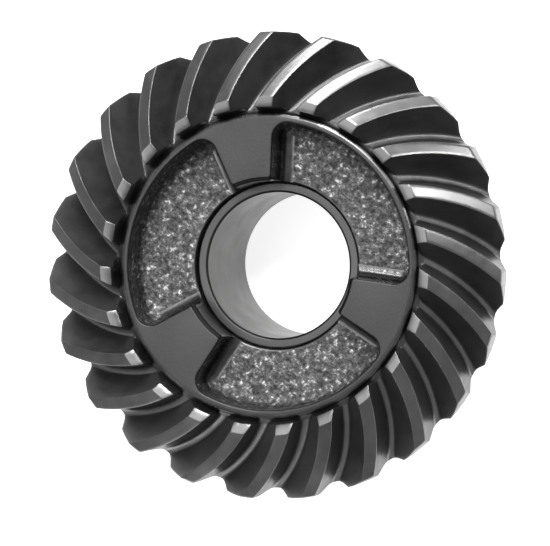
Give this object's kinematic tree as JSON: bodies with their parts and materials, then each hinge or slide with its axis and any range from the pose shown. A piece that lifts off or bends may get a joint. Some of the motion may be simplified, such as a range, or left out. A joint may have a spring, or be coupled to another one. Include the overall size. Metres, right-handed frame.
{
  "type": "spiral bevel clutch gear",
  "caption": "Spiral bevel gear with a jaw clutch face, a stepped rear hub and a plain bush pressed into its bore.",
  "frame": {"origin": "centre of the rear hub end face, on the gear axis", "axes": "+Z along the gear axis from the rear hub towards the teeth and the clutch dogs; X and Y across, the first dog close to +Y"},
  "size_m": [0.081, 0.081, 0.037],
  "materials": {
    "gear_steel": "dark satin hardened steel, ground dog tops, as-forged pocket floors",
    "bush_metal": "smooth grey-brown bearing metal"
  },
  "bodies": {
    "root": {"gear": "gear_steel", "bush": "bush_metal"}
  },
  "joints": []
}
